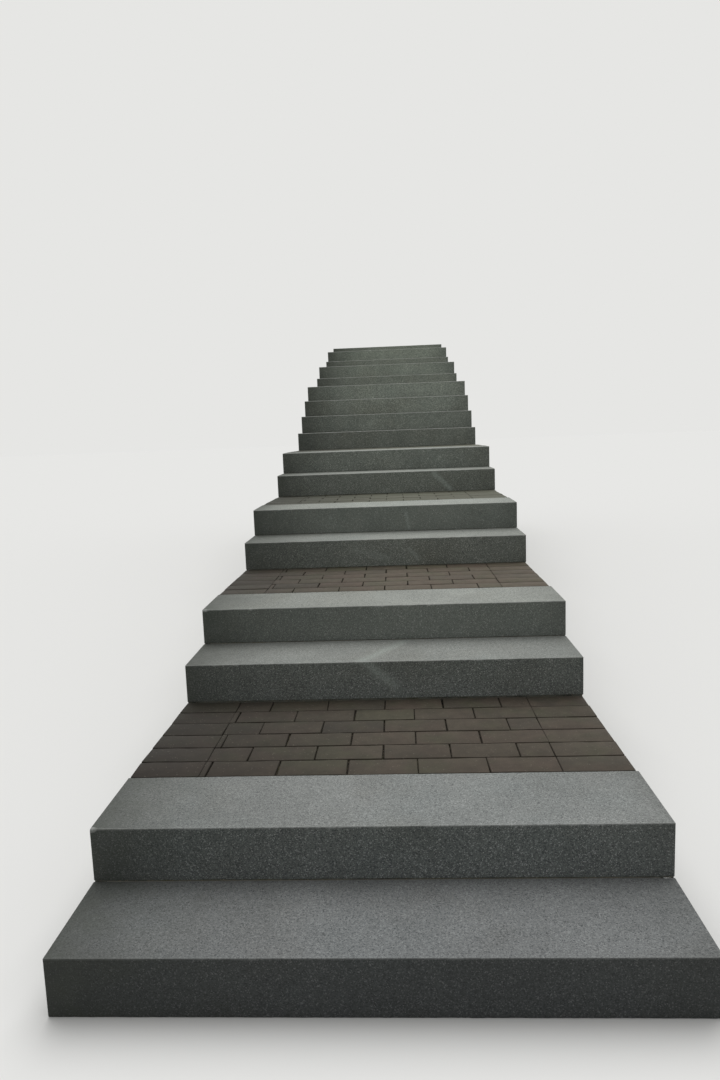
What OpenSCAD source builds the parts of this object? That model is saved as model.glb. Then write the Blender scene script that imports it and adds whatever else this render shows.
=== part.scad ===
// Outdoor steps of solid granite blocks, in short flights with brick-paved landings between
// them, on a concrete foundation poured in bays that all run down to the level of the foot.
// +X runs across the stair to the right, +Y up the stair and +Z up. The origin is the middle of
// the footprint, at the level of the foot.

/* [Block steps] */
// Length of a block, across the stair
block_l = 1520; // [1000:10:2400]
// Going, from one riser to the next
going = 300; // [260:5:400]
// Rise of one step
rise = 150; // [130:5:180]
// Fall of each tread towards its front edge
wash = 3; // [0:0.5:6]
// Width of the mortar joint behind and between blocks
joint_w = 3; // [2:0.5:8]
// Bevel along the edges of a block
arris = 3; // [1:0.5:6]
// Length of the left block where a step is laid in two
left_l = 670; // [400:10:900]

/* [Landings] */
// Depth of a landing, from the last block of a flight to the next riser
landing_l = 655; // [400:5:1500]
// Thickness of the pavers
paver_t = 60; // [40:5:80]
// Thickness of the bed that the pavers lie on
bed_t = 30; // [20:5:50]
// Width of the joint between the paving and the riser behind it
head_joint = 10; // [4:1:20]
// Bevel along the top edges of the paving
paver_bevel = 2; // [1:0.5:4]

/* [Foundation] */
// How far the blocks and the paving stand out past the sides of the foundation
overhang = 25; // [5:5:60]
// Chamfer down the corners of each pour
pour_chamfer = 12; // [4:2:24]

/* [Hidden] */
// Steps in each flight, from the foot up
FLIGHTS = [2, 2, 2, 2, 4, 2, 2, 1];
// The step that is laid in two blocks
TWO_BLOCK_STEP = 12;
GRANITE = "#8c908b";
PAVERS = "#5f544a";
BED = "#a59b88";
CONCRETE = "#9c9a93";

last_flight = len(FLIGHTS) - 1;
step_count = steps_below(last_flight + 1);
block_d = going - joint_w;
stair_l = step_count * going + last_flight * landing_l - joint_w;
base_w = block_l - 2 * overhang;

// Number of steps below a flight, and the flight that a step is in; flights count from 0
function steps_below(flight) = flight == 0 ? 0 : FLIGHTS[flight - 1] + steps_below(flight - 1);
function flight_of(step, flight = 0) =
    step <= steps_below(flight + 1) ? flight : flight_of(step, flight + 1);

// Where a flight's first riser and its foot are, and where a step's riser is
function flight_y(flight) = steps_below(flight) * going + flight * landing_l - stair_l / 2;
function flight_z(flight) = steps_below(flight) * rise;
function step_y(step) =
    let (flight = flight_of(step)) flight_y(flight) + (step - 1 - steps_below(flight)) * going;

// Where the landing behind a flight begins and how high it is
function landing_y(flight) = flight_y(flight) + FLIGHTS[flight] * going;
function landing_z(flight) = flight_z(flight + 1);

// The point at a given distance from one point towards another
function toward(from, to, distance) = from + (to - from) * distance / norm(to - from);

// A convex outline with every corner cut off at the same distance along both of its edges
function eased(points, cut) = [
    for (i = [0 : len(points) - 1])
        let (
            corner = points[i],
            before = points[(i + len(points) - 1) % len(points)],
            after = points[(i + 1) % len(points)]
        )
        each [toward(corner, before, cut), toward(corner, after, cut)]
];

function rectangle(width, depth) = [[0, 0], [width, 0], [width, depth], [0, depth]];

// Where a step's blocks start and how long they are, from the left
function block_spans(step) =
    step == TWO_BLOCK_STEP
        ? [[0, left_l], [left_l + joint_w, block_l - left_l - joint_w]]
        : [[0, block_l]];

// The foundation's top line in one pour, seen from the right: a tread for each block and a shelf
// for the landing. Each upright closes the joint behind a block. The first block of all stands
// at foot level itself, so the first pour has no tread for it.
function pour_line(flight) = concat(
    [
        for (i = [flight == 0 ? 1 : 0 : FLIGHTS[flight] - 1])
            let (start = i == 0 ? 0 : i * going - joint_w, level = flight_z(flight) + i * rise)
            each [[start, level], [(i + 1) * going - joint_w, level]]
    ],
    flight == last_flight ? [] : [
        let (level = landing_z(flight) - paver_t - bed_t, start = FLIGHTS[flight] * going)
        each [[start - joint_w, level], [start + landing_l, level]]
    ]
);

// A shape given by its side outline (y, z), drawn out across the stair from x = 0
module across(length) {
    rotate([90, 0, 90]) linear_extrude(length) children();
}

// A solid block step with its arrises eased and its tread falling to the front
module block(length) {
    side = [[0, 0], [block_d, 0], [block_d, rise], [0, rise - wash]];
    color(GRANITE)
    intersection() {
        across(length) polygon(eased(side, arris));
        linear_extrude(rise) polygon(eased(rectangle(length, block_d), arris));
        translate([0, block_d, 0])
            rotate([90, 0, 0]) linear_extrude(block_d) polygon(eased(rectangle(length, rise), arris));
    }
}

module step_block(step, part) {
    span = block_spans(step)[part];
    translate([span[0] - block_l / 2, step_y(step), (step - 1) * rise]) block(span[1]);
}

// The pavers of a landing, with their top edges eased
module paving(flight) {
    depth = landing_l - head_joint;
    top = [
        [0, 0], [depth, 0], [depth, paver_t - paver_bevel], [depth - paver_bevel, paver_t],
        [paver_bevel, paver_t], [0, paver_t - paver_bevel]
    ];
    color(PAVERS)
    translate([-block_l / 2, landing_y(flight), landing_z(flight) - paver_t])
        across(block_l) polygon(top);
}

// The sand and cement bed under the pavers, up against the block in front and the next pour
module bed(flight) {
    color(BED)
    translate([-base_w / 2, landing_y(flight) - joint_w, landing_z(flight) - paver_t - bed_t])
        cube([base_w, landing_l + joint_w, bed_t]);
}

// One pour of the foundation, under a flight and the landing behind it
module pour(flight) {
    line = pour_line(flight);
    start = line[0][0];
    end = line[len(line) - 1][0];
    height = landing_z(flight);
    color(CONCRETE)
    translate([-base_w / 2, flight_y(flight), 0])
        intersection() {
            across(base_w) polygon(concat([[start, 0]], line, [[end, 0]]));
            translate([0, start, 0])
                linear_extrude(height) polygon(eased(rectangle(base_w, end - start), pour_chamfer));
        }
}

function step_name(step) = str(step < 10 ? "step_0" : "step_", step);
function block_name(step, part) =
    len(block_spans(step)) == 1 ? step_name(step) : str(step_name(step), ["_left", "_right"][part]);
function paving_name(flight) = str("landing_", flight + 1, "_paving");
function bed_name(flight) = str("landing_", flight + 1, "_bed");
function pour_name(flight) = str("foundation_", flight + 1);

for (step = [1 : step_count], part = [0 : len(block_spans(step)) - 1])
    step_block(step, part);
for (flight = [0 : last_flight - 1]) {
    paving(flight);
    bed(flight);
}
for (flight = [0 : last_flight])
    pour(flight);
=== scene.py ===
"""Looks of the outdoor block steps: granite blocks, brick-paved landings, poured foundation."""
import math

import bmesh
import bpy
import numpy as np
from bpy.props import FloatProperty, IntProperty, PointerProperty, StringProperty
from bpy.types import Node, NodeSocket, Operator, Panel, PropertyGroup
from mathutils import Matrix, Vector, noise
from mathutils.bvhtree import BVHTree


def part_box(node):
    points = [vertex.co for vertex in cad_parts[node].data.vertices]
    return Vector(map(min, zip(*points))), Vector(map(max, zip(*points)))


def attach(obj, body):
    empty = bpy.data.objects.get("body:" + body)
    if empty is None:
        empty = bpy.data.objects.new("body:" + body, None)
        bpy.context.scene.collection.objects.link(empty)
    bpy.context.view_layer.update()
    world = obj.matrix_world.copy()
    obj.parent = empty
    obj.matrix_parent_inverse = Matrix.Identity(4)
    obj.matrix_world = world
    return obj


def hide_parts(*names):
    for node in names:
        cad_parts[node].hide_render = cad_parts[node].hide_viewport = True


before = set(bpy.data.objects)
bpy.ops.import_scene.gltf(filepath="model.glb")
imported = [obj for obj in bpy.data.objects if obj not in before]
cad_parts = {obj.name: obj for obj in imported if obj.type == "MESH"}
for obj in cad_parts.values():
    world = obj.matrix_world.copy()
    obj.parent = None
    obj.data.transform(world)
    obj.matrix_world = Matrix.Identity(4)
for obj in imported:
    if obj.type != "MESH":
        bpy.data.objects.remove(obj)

bl_info = {
    "name": "Outdoor block steps",
    "version": (1, 0, 0),
    "blender": (4, 5, 0),
    "location": "3D View > Sidebar > Block steps",
    "description": "Dresses a stair of granite blocks with paved landings and a poured foundation",
    "category": "Add Mesh",
}

MM = 0.001
# How far the border pavers and the filling of the joints stay inside the sides of the stair
BORDER_SET_BACK = 2.7 * MM
FILLING_SET_BACK = 4 * MM
# Points of a block's cross-section on the riser, the tread, the back and the underside
SIDE_POINTS = (10, 16, 4, 3)
# Knocks along a tread's front arris: the mean distance between them, and the range of their half
# length and their greatest depth in millimetres
KNOCK_PITCH = 110 * MM
KNOCK_HALF = (4, 12)
KNOCK_DEPTH = 3
# How far apart the points lie between which an arris wanders, in long waves and in short ones, the
# share of the wander that each of these takes, and how uneven the middle of the rounding is
ARRIS_WAVES, WAVE_SHARE, ARRIS_UNEVEN = (70 * MM, 16 * MM), 0.6, 0.12
# The rings that close the end of a block, by their share of the way to its middle
CAP_SHARES = (0.97, 0.8, 0.6, 0.4, 0.22, 0.08, 0.025)
# Points of a paver's mesh along it, across it and up it
PAVER_POINTS = (8, 4, 4)
# Points across a pour, and its longest faces along and up the stair
POUR_COLUMNS = 14
POUR_FACE = (60 * MM, 70 * MM)
# Random values along a formwork board, for its bow and for the fin at its seam, and how many
# there are to a metre
BOW_VALUES, BOWS_A_METRE = 64, 1.7
FIN_VALUES, FINS_A_METRE = 400, 23
# How far the tie holes are above the foot, from the front, the rear and the top of a pour, and
# from each other at the back of the stair
TIES_UP, TIES_FRONT, TIES_REAR, TIES_DOWN, TIES_APART = 0.31, 0.3, 0.1, 0.15, 0.45
BODY = "root"
STEPS = sorted(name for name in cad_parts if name.startswith("step_"))
LANDINGS = sorted(name[:-len("_paving")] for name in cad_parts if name.endswith("_paving"))
POURS = sorted(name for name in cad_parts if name.startswith("foundation_"))
STAIR_LOW = Vector(min(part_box(name)[0][axis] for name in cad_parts) for axis in range(3))
STAIR_HIGH = Vector(max(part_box(name)[1][axis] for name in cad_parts) for axis in range(3))

# Damage that can be seen. A chip is a place along the front arris from the block's left end, its
# half length and its depth. A scuff runs between two points of a face, "riser" or "tread": each
# is a distance from the left end and one up the riser or back from its edge. Then come its half
# width and its strength. A film of dirt hides the crystals of some blocks more than of the rest,
# and some treads are painted paler than the rest, as painted light.
CHIPS = {
    "step_02": ((0.004, 0.018, 0.007),),
    "step_04": ((0.010, 0.016, 0.006),),
}
SCUFFS = {
    "step_03": (("riser", (0.700, 0.140), (0.810, 0.050), 0.015, 1.2),
                ("tread", (0.680, 0.005), (0.850, 0.270), 0.022, 0.65)),
    "step_05": (("riser", (0.895, 0.090), (0.940, 0.035), 0.010, 1.0),
                ("riser", (0.610, 0.085), (0.780, 0.045), 0.014, 0.6)),
    "step_06": (("riser", (0.885, 0.105), (0.900, 0.015), 0.007, 1.0),
                ("riser", (0.445, 0.095), (0.450, 0.085), 0.006, 1.0)),
    "step_07": (("riser", (1.095, 0.130), (1.210, 0.020), 0.014, 1.7),),
}
FILMS = {"step_04": 0.45, "step_06": 0.5}
# The treads named here are painted paler, as painted light of the sky on them
PAINTED_LIGHT_TREADS = {"step_04": 1.08, "step_06": 1.2}


# Sizes and colours


def length_value(name, description, millimetres):
    """A length that a user can change, given in millimetres."""
    return FloatProperty(
        name=name, description=description, default=millimetres * MM, unit="LENGTH")


def angle_value(name, description, degrees):
    """An angle that a user can change, given in degrees."""
    return FloatProperty(
        name=name, description=description, default=math.radians(degrees), unit="ROTATION")


def colour_value(name, description, default):
    """A colour that a user can change, given as an sRGB hex value."""
    return StringProperty(name=name, description=description, default=default)


class GraniteProps(PropertyGroup):
    """Sizes and colours of the granite blocks."""
    arris: length_value("Arris", "Mean rounding of a worn arris", 2.7)
    wander: length_value("Wander", "How much the rounding of an arris varies along it", 1.1)
    wash: length_value("Wash", "Fall of a tread towards its front edge", 3)
    relief: length_value("Relief", "Unevenness of the hewn faces", 0.5)
    facet: length_value("Facet", "Length of one mesh face along a block", 8)
    grain: length_value("Grain", "Size of the crystals", 2.4)
    tread_tone: colour_value("Tread", "Mean colour of a flamed tread", "#868986")
    riser_tone: colour_value("Riser", "Mean colour of a sawn riser", "#717672")
    mica: colour_value("Mica", "Colour of the dark crystals", "#505354")
    feldspar: colour_value("Feldspar", "Colour of the pale crystals", "#a4a6a2")
    grime_and_shade: colour_value("Grime", "Tint of the grime", "#5b6154")
    dust: colour_value("Dust", "Colour of the stone dust in a scuff", "#a0a9a2")
    rust: colour_value("Rust", "Brownish drift of the stone's hue", "#86796a")
    cool: colour_value("Cool", "Bluish drift of the stone's hue", "#6c8086")


class PaverProps(PropertyGroup):
    """Sizes and colours of the clay pavers and their joints."""
    length: length_value("Length", "Length of a whole paver", 210)
    joint: length_value("Joint", "Width of the sanded joints", 4)
    bevel: length_value("Arris", "Rounding of a paver's edges", 2.5)
    rows: IntProperty(name="Rows", description="Rows of pavers on a landing", default=6)
    turn: angle_value("Turn", "How far a paver may be turned out of line", 0.4)
    lie: length_value("Lie", "How far a paver may stand high, low or tilted", 0.7)
    sand_depth: length_value("Sand depth", "How far the joint sand lies below the pavers", 8)
    shift: length_value("Shift", "How far a paver may lie from its place in the bond", 1)
    ragged: length_value("Ragged", "How far a paver's edges wander", 2.2)
    brown: colour_value("Brown", "Colour of the commonest pavers", "#4f483d")
    red: colour_value("Red", "Colour of the reddish pavers", "#52483e")
    olive: colour_value("Olive", "Colour of the olive pavers", "#4d4a3b")
    grey: colour_value("Grey", "Colour of the hardest-fired pavers", "#474239")
    algae_and_sheen: colour_value("Algae", "Tint of the film of algae on the upper landings", "#484b40")
    sand: colour_value("Sand", "Colour of the joint sand", "#1d1913")
    mortar: colour_value("Mortar", "Colour of the mortar at the riser feet", "#555750")
    pointing: colour_value("Pointing", "Colour of the mortar between two blocks", "#868a84")


class FoundationProps(PropertyGroup):
    """Sizes and colours of the poured foundation and the bed."""
    board: length_value("Board", "Width of a formwork board", 125)
    board_step: length_value("Board step", "How far neighbouring boards stand apart", 1.4)
    fin: length_value("Fin", "Height of the fin left at a board joint", 1.2)
    tie_pitch: length_value("Tie pitch", "Distance between the formwork tie holes", 600)
    tie_radius: length_value("Tie radius", "Radius of a tie hole at the face", 13)
    tie_depth: length_value("Tie depth", "Depth of a tie hole", 14)
    concrete: colour_value("Concrete", "Mean colour of the cast concrete", "#9b988f")
    bed: colour_value("Bed", "Colour of the sand and cement bed", "#a0957f")


class StageProps(PropertyGroup):
    """The camera of the photo, the lamps and the floor."""
    lens: FloatProperty(
        name="Lens", description="Focal length on a 36 mm long side", default=25.23,
        unit="CAMERA")
    eye_right: length_value("Eye right", "Camera, to the right of the stair's left side", 838)
    eye_back: length_value("Eye back", "Camera, in front of the first riser", 1541)
    eye_height: length_value("Eye height", "Camera, above the foot of the stair", 1296)
    yaw: angle_value("Yaw", "Turn to the left", 2.936)
    pitch: angle_value("Pitch", "Tilt upwards", -7.726)
    roll: angle_value("Roll", "Roll of the camera", -2.108)
    sky: FloatProperty(
        name="Sky", description="Strength of the even light from all round", default=0.42)
    key_power: FloatProperty(
        name="Key", description="Strength of the overhead light, in W/m2", default=2.1)
    key_tilt: angle_value("Key tilt", "How far the overhead light comes from behind", 24)
    key_spread: angle_value("Key spread", "Angle that the overhead light spans", 60)
    floor: colour_value("Floor", "Colour of the floor", "#e4e4e2")
    bounce: colour_value("Bounce", "Colour of the light that the floor throws back", "#858583")
    backdrop: colour_value("Backdrop", "Colour of the background above the floor", "#e6e6e4")


# What every piece and material needs


def linear(colour, shade=1.0):
    """A linear RGBA colour from an sRGB hex value, made darker or lighter by a factor."""
    channels = (int(colour[i:i + 2], 16) / 255 for i in (1, 3, 5))
    return (*(shade * (c / 12.92 if c <= 0.04045 else ((c + 0.055) / 1.055) ** 2.4)
              for c in channels), 1.0)


def add(tree, kind, inputs=None, operation=None, stops=None, **settings):
    """Adds a node with its settings, and sets or links each of its inputs.

    A node that is given for an input stands for the first of its outputs that is in use.
    """
    node = tree.nodes.new(kind)
    if operation:
        node.operation = operation
    for key, value in settings.items():
        setattr(node, key, value)
    for key, value in (inputs or {}).items():
        if isinstance(value, Node):
            value = next(socket for socket in value.outputs if socket.enabled)
        if isinstance(value, NodeSocket):
            tree.links.new(value, node.inputs[key])
        else:
            node.inputs[key].default_value = value
    if stops:
        ramp = node.color_ramp
        while len(ramp.elements) < len(stops):
            ramp.elements.new(0.5)
        for element, (place, colour) in zip(ramp.elements, stops):
            element.position = place
            element.color = colour
    return node


def new_mesh(name, points, edges=(), faces=()):
    """A new mesh of points, and of edges or faces between them."""
    mesh = bpy.data.meshes.new(name)
    mesh.from_pydata(points, edges, faces)
    return mesh


def new_object(name, data, materials=()):
    """A new object at the origin, with its materials."""
    piece = bpy.data.objects.new(name, data)
    bpy.context.scene.collection.objects.link(piece)
    for material in materials:
        data.materials.append(material)
    return piece


def face_outwards(mesh):
    """Turns the faces of a closed mesh outwards."""
    shape = bmesh.new()
    shape.from_mesh(mesh)
    if shape.calc_volume(signed=True) < 0:
        bmesh.ops.reverse_faces(shape, faces=shape.faces)
    shape.to_mesh(mesh)
    shape.free()


def store(mesh, name, values):
    """Keeps a number for each point of a mesh, for its material or its node tree to read."""
    mesh.attributes.new(name, "FLOAT", "POINT").data.foreach_set("value", np.ravel(values))


def evaluated_mesh(piece):
    """The mesh of an object with its modifiers applied."""
    graph = bpy.context.evaluated_depsgraph_get()
    return bpy.data.meshes.new_from_object(
        piece.evaluated_get(graph), preserve_all_data_layers=True, depsgraph=graph)


def finish_piece(piece, slot, *nodes):
    """Rides the piece on the stair and hides the nodes it stands for; its slot is not used."""
    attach(piece, BODY)
    if nodes:
        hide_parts(*nodes)


# Materials


# The scale of a pattern is one over its size in metres: 5 gives patches of 200 mm, and 700 gives
# grains of 1.4 mm. The clay's grit and the grains of sand are drawn coarser than real ones, which
# would be too fine to show.


def new_material(name):
    """An empty material and its node tree."""
    material = bpy.data.materials.new(name)
    material.use_nodes = True
    material.node_tree.nodes.clear()
    return material, material.node_tree


def shaded(tree, colour, value, dark, pale, low=0.3, high=0.7):
    """A colour that goes from a darker to a paler shade as a value goes from low to high."""
    shade = add(tree, "ShaderNodeMapRange", {
        "Value": value, "From Min": low, "From Max": high, "To Min": dark, "To Max": pale})
    return add(tree, "ShaderNodeMix", {0: 1.0, 6: colour, 7: shade},
               data_type="RGBA", blend_type="MULTIPLY")


def covered(tree, body, colour, value, low, high, end=1.0, start=0.0, where=None, blend="MIX"):
    """A colour under a cover that goes from start to end as a value goes from low to high.

    The cover lies only where another value says so, if one is given.
    """
    share = add(tree, "ShaderNodeMapRange", {
        "Value": value, "From Min": low, "From Max": high, "To Min": start, "To Max": end})
    if where is not None:
        share = add(tree, "ShaderNodeMath", {0: where, 1: share}, "MULTIPLY")
    return add(tree, "ShaderNodeMix", {0: share, 6: body, 7: colour},
               data_type="RGBA", blend_type=blend)


def grains(tree, place, scale):
    """Grains as the cells of a pattern, and the random numbers that each of them has."""
    cells = add(tree, "ShaderNodeTexVoronoi", {"Vector": place, "Scale": scale})
    return cells, add(tree, "ShaderNodeSeparateColor", {"Color": cells.outputs["Color"]}).outputs


def skin(tree, colour, height, strength, depth, finish):
    """Ends a material: its colour, the relief that is too fine to model and its finish."""
    bump = add(tree, "ShaderNodeBump", {"Height": height, "Strength": strength, "Distance": depth})
    shader = add(tree, "ShaderNodeBsdfPrincipled", {"Base Color": colour, "Normal": bump, **finish})
    add(tree, "ShaderNodeOutputMaterial", {"Surface": shader})


def granite(name, props, tone, mica_share, pale_share, contrast, roughness, depth):
    """Fine-grained grey granite: salt-and-pepper crystals, mottled by weather.

    Flaming leaves a pale, rough tread; sawing leaves a darker, flatter face that holds grime.
    """
    material, tree = new_material(name)
    place = add(tree, "ShaderNodeTexCoord").outputs["Object"]
    _, own = grains(tree, place, 1 / props.grain)
    body = add(tree, "ShaderNodeValToRGB", {"Fac": own["Red"]}, stops=[
        (0.0, linear(props.mica, 1 / contrast)),
        (mica_share, linear(tone, 1 - 0.25 * contrast)),
        (mica_share + 0.18, linear(tone, 0.96)),
        (1 - pale_share, linear(tone, 1.06)),
        (1 - pale_share / 2, linear(tone, 1 + 0.32 * contrast)),
        (1.0, linear(props.feldspar, contrast)),
    ])
    # A film of dirt hides the crystals
    film = add(tree, "ShaderNodeAttribute", attribute_name="film").outputs["Fac"]
    body = add(tree, "ShaderNodeMix", {0: film, 6: body, 7: linear(tone, 0.86)}, data_type="RGBA")
    # Patches of wear and damp as wide as a hand, and clusters of crystals as wide as a finger
    for scale, detail, dark, pale in ((5.0, 6.0, 0.89, 1.10), (130.0, 2.0, 0.88, 1.12)):
        cloud = add(tree, "ShaderNodeTexNoise", {
            "Vector": place, "Scale": scale, "Detail": detail, "Roughness": 0.6})
        body = shaded(tree, body, cloud, dark, pale)
    # The stone's own hue drifts between brownish and bluish
    for hue, seed, most in ((props.rust, 7.0, 0.32), (props.cool, 3.0, 0.24)):
        drift = add(tree, "ShaderNodeTexNoise", {
            "Vector": place, "W": seed, "Scale": 3.2, "Detail": 3.0}, noise_dimensions="4D")
        body = covered(tree, body, linear(hue), drift, 0.5, 0.75, most, blend="SOFT_LIGHT")
    # Each block comes from its own bed of the quarry, and its tone also carries painted shade at the
    # foot and the ends and painted light up the stair; the dirt is bluish at the foot of the stair
    # and greenish at its top
    block = add(tree, "ShaderNodeAttribute", attribute_name="tone").outputs["Fac"]
    axes = add(tree, "ShaderNodeSeparateXYZ", {"Vector": place}).outputs
    height = add(tree, "ShaderNodeMapRange", {"Value": axes["Z"], "From Max": STAIR_HIGH.z})
    tint = add(tree, "ShaderNodeValToRGB", {"Fac": height}, stops=[
        (0.0, (1.0, 1.0, 1.08, 1.0)),
        (0.2, (1.0, 1.0, 0.96, 1.0)),
        (1.0, (1.0, 1.02, 0.92, 1.0)),
    ])
    for factor in (block, tint):
        body = add(tree, "ShaderNodeMix", {0: 1.0, 6: body, 7: factor},
                   data_type="RGBA", blend_type="MULTIPLY")
    # Grime with its painted shade, scuffs, and fresh chips with the painted highlight along the
    # front arris lie where the mesh says so, broken up by a cloud of their own
    for label, colour, scale, least, most in (
            ("grime_and_shade", linear(props.grime_and_shade, 0.5), 16.0, 0.3, 0.75),
            ("scuff", linear(props.dust), 190.0, 0.0, 1.0),
            ("chip_and_highlight", linear(props.feldspar, 1.3), 160.0, 0.5, 1.0)):
        where = add(tree, "ShaderNodeAttribute", attribute_name=label).outputs["Fac"]
        cloud = add(tree, "ShaderNodeTexNoise", {"Vector": place, "Scale": scale, "Detail": 6.0})
        body = covered(tree, body, colour, cloud, 0.3, 0.7, most, least, where)
    grit = add(tree, "ShaderNodeTexNoise", {
        "Vector": place, "Scale": 0.8 / props.grain, "Detail": 3.0, "Roughness": 0.6})
    skin(tree, body, grit, 0.6, depth, {
        "Roughness": roughness, "IOR": 1.54, "Specular IOR Level": 0.35})
    return material


def fired_clay(props):
    """Clay pavers, extruded and fired hard: matt brown, each its own shade, with a fine grit."""
    material, tree = new_material("fired_clay")
    place = add(tree, "ShaderNodeTexCoord").outputs["Object"]
    tone = add(tree, "ShaderNodeAttribute", attribute_name="tone").outputs["Fac"]
    body = add(tree, "ShaderNodeValToRGB", {"Fac": tone}, stops=[
        (0.0, linear(props.grey)),
        (0.28, linear(props.brown)),
        (0.5, linear(props.brown, 1.12)),
        (0.62, linear(props.red)),
        (0.8, linear(props.brown)),
        (1.0, linear(props.olive, 1.1)),
    ])
    # Dirt has dulled them, greenish here and reddish there, in patches wider than a paver
    for hue, seed, most in ((props.olive, 2.0, 0.8), (props.red, 6.0, 0.65)):
        drift = add(tree, "ShaderNodeTexNoise", {
            "Vector": place, "W": seed, "Scale": 7.0, "Detail": 4.0}, noise_dimensions="4D")
        body = covered(tree, body, linear(hue), drift, 0.48, 0.62, most)
    # Flames of the kiln, and the clay's grit
    clouds = add(tree, "ShaderNodeTexNoise", {
        "Vector": place, "Scale": 22.0, "Detail": 7.0, "Roughness": 0.62})
    body = shaded(tree, body, clouds, 0.82, 1.2)
    grit = add(tree, "ShaderNodeTexNoise", {"Vector": place, "Scale": 380.0, "Detail": 2.0})
    body = shaded(tree, body, grit, 0.8, 1.2)
    # A greyish film covers the third landing and up, partly algae and partly a painted sheen; the
    # left side is darker, partly damp and partly painted shade; and the landings are painted darker
    # at the foot and lighter up the stair, as painted light and sheen
    axes = add(tree, "ShaderNodeSeparateXYZ", {"Vector": place}).outputs
    body = covered(tree, body, linear(props.algae_and_sheen), axes["Z"], 0.65, 0.85, 0.75)
    body = shaded(tree, body, axes["X"], 0.33, 1.04, STAIR_LOW.x, STAIR_LOW.x + 0.8)
    body = shaded(tree, body, axes["Z"], 0.66, 1.34, 0.3, 0.9)
    # A few pale grains of sand lie on the pavers
    _, own = grains(tree, place, 320.0)
    body = covered(tree, body, linear("#8d877a"), own["Green"], 0.985, 0.995, 0.25)
    # The rounded arrises are darkened, partly by dirt from the joints and partly as painted shade
    # beside the joints, more in one place than in another
    arris = add(tree, "ShaderNodeAttribute", attribute_name="arris").outputs["Fac"]
    body = covered(tree, body, linear(props.sand), clouds, 0.35, 0.65, 0.9, 0.15, arris)
    skin(tree, body, grit, 0.5, 0.4 * MM, {"Roughness": 0.8, "Specular IOR Level": 0.25})
    return material


def joint_filling(name, colour):
    """Jointing sand or mortar, dark with damp and dirt, with greenish places and pale grains."""
    material, tree = new_material(name)
    place = add(tree, "ShaderNodeTexCoord").outputs["Object"]
    damp = add(tree, "ShaderNodeTexNoise", {"Vector": place, "Scale": 9.0, "Detail": 5.0})
    body = add(tree, "ShaderNodeValToRGB", {"Fac": damp}, stops=[
        (0.3, linear(colour, 0.45)),
        (0.55, linear(colour)),
        (0.72, linear("#3f4028", 0.9)),
    ])
    sand, own = grains(tree, place, 700.0)
    body = covered(tree, body, linear("#8d7f68"), own["Red"], 0.86, 0.9, 0.5)
    skin(tree, body, sand, 1.0, 0.8 * MM, {"Roughness": 0.95, "Specular IOR Level": 0.2})
    return material


def cast_concrete(props):
    """Concrete cast between sawn boards: their grain and own shades, air holes and streaks."""
    material, tree = new_material("board_marked_concrete")
    place = add(tree, "ShaderNodeTexCoord").outputs["Object"]
    axes = add(tree, "ShaderNodeSeparateXYZ", {"Vector": place}).outputs
    along = add(tree, "ShaderNodeMapping", {"Vector": place, "Scale": (2.0, 2.0, 150.0)})
    wood = add(tree, "ShaderNodeTexNoise", {
        "Vector": along, "Scale": 1.0, "Detail": 5.0, "Distortion": 0.4})
    course = add(tree, "ShaderNodeMath", {0: axes["Z"], 1: props.board}, "DIVIDE")
    number = add(tree, "ShaderNodeMath", {0: course}, "FLOOR")
    own = add(tree, "ShaderNodeTexWhiteNoise", {"W": number}, noise_dimensions="1D")
    clouds = add(tree, "ShaderNodeTexNoise", {
        "Vector": place, "Scale": 2.6, "Detail": 7.0, "Roughness": 0.62})
    fall = add(tree, "ShaderNodeMapping", {"Vector": place, "Scale": (16.0, 16.0, 0.9)})
    streaks = add(tree, "ShaderNodeTexNoise", {"Vector": fall, "Scale": 1.0, "Detail": 4.0})
    body = linear(props.concrete)
    for source, dark, pale in ((wood, 0.93, 1.06), (own, 0.97, 1.03), (clouds, 0.78, 1.24),
                               (streaks, 0.84, 1.12)):
        body = shaded(tree, body, source, dark, pale, 0.2, 0.8)
    # Air holes are painted dark, as the shade inside each pit, and sunk by the bump
    holes = add(tree, "ShaderNodeTexVoronoi", {"Vector": place, "Scale": 38.0})
    hole = add(tree, "ShaderNodeMapRange", {
        "Value": holes, "From Min": 0.06, "From Max": 0.10, "To Min": 1.0, "To Max": 0.0})
    body = add(tree, "ShaderNodeMix", {0: hole, 6: body, 7: linear(props.concrete, 0.3)},
               data_type="RGBA")
    # Damp and dirt have stained the lowest part
    body = covered(tree, body, linear("#4a4234"), axes["Z"], 0.02, 0.28, 0.0, 0.75, clouds)
    height = add(tree, "ShaderNodeMath", {0: wood, 1: hole}, "SUBTRACT")
    skin(tree, body, height, 0.7, 1.2 * MM, {"Roughness": 0.88, "Specular IOR Level": 0.25})
    return material


def bedding_mortar(props):
    """A dry bed of sand and cement: pale, crumbly, with coarse grains."""
    material, tree = new_material("bedding_mortar")
    place = add(tree, "ShaderNodeTexCoord").outputs["Object"]
    clouds = add(tree, "ShaderNodeTexNoise", {"Vector": place, "Scale": 30.0, "Detail": 8.0})
    _, own = grains(tree, place, 330.0)
    both = add(tree, "ShaderNodeMath", {0: clouds, 1: own["Red"]}, "MULTIPLY")
    body = add(tree, "ShaderNodeValToRGB", {"Fac": both}, stops=[
        (0.0, linear(props.bed, 0.55)),
        (0.25, linear(props.bed)),
        (0.6, linear(props.bed, 1.25)),
    ])
    skin(tree, body, both, 1.0, 1.5 * MM, {"Roughness": 0.95, "Specular IOR Level": 0.2})
    return material


# Granite blocks


def wander(random, places, spacing, size):
    """A value that wanders along the places, with a new random value at every spacing."""
    knots = np.arange(places.min() - spacing, places.max() + 2 * spacing, spacing)
    return np.interp(places, knots, random.uniform(-size, size, len(knots)))


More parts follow.
